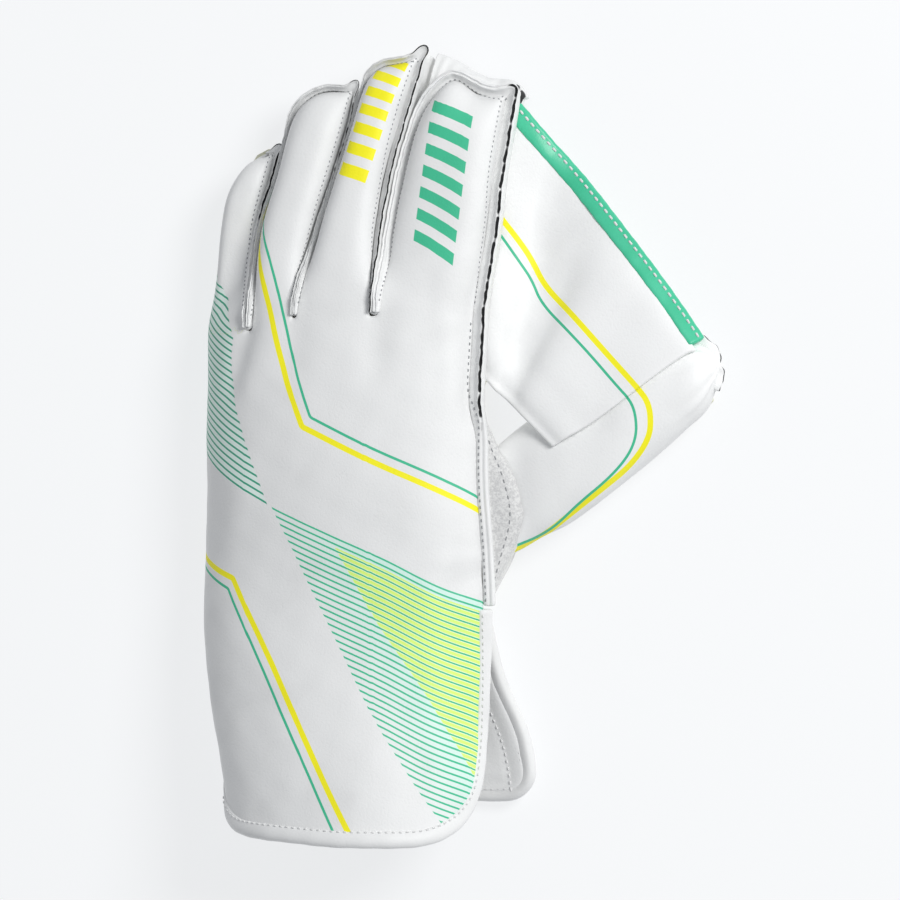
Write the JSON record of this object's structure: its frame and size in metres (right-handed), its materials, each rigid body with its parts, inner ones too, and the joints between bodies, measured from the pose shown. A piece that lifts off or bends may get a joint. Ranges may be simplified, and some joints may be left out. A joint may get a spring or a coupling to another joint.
{
  "type": "wicketkeeping glove",
  "caption": "Left-hand wicketkeeping glove lying on its palm, with sewn fingers, a hollow thumb, a web between thumb and index finger, and an open two-flap cuff.",
  "frame": {"origin": "under the middle of the glove's bounding box, on the surface that it lies on", "axes": "+Y from the cuff to the fingertips, +X towards the thumb, +Z out of the back of the hand"},
  "size_m": [0.1926, 0.288, 0.0676],
  "materials": {
    "white_leather": "grained, satin",
    "seam_leather": "grained, satin",
    "grey_suede": "matte suede",
    "palm_rubber": "matte, pimpled",
    "green_trim": "satin"
  },
  "bodies": {
    "root": {"back_panel": "white_leather", "thumb_stall": "white_leather", "web_panel": "white_leather", "palm_cuff": "white_leather", "pinky_ring_gusset": "seam_leather", "ring_middle_gusset": "seam_leather", "middle_index_gusset": "seam_leather", "index_side_wall": "seam_leather", "pinky_lip": "seam_leather", "ring_lip": "seam_leather", "middle_lip": "seam_leather", "index_lip": "seam_leather", "thumb_lip": "seam_leather", "back_binding": "seam_leather", "palm_binding": "seam_leather", "palm_facing": "palm_rubber", "thumb_facing": "palm_rubber", "thumb_gusset": "grey_suede", "web_trim": "green_trim"}
  },
  "joints": []
}
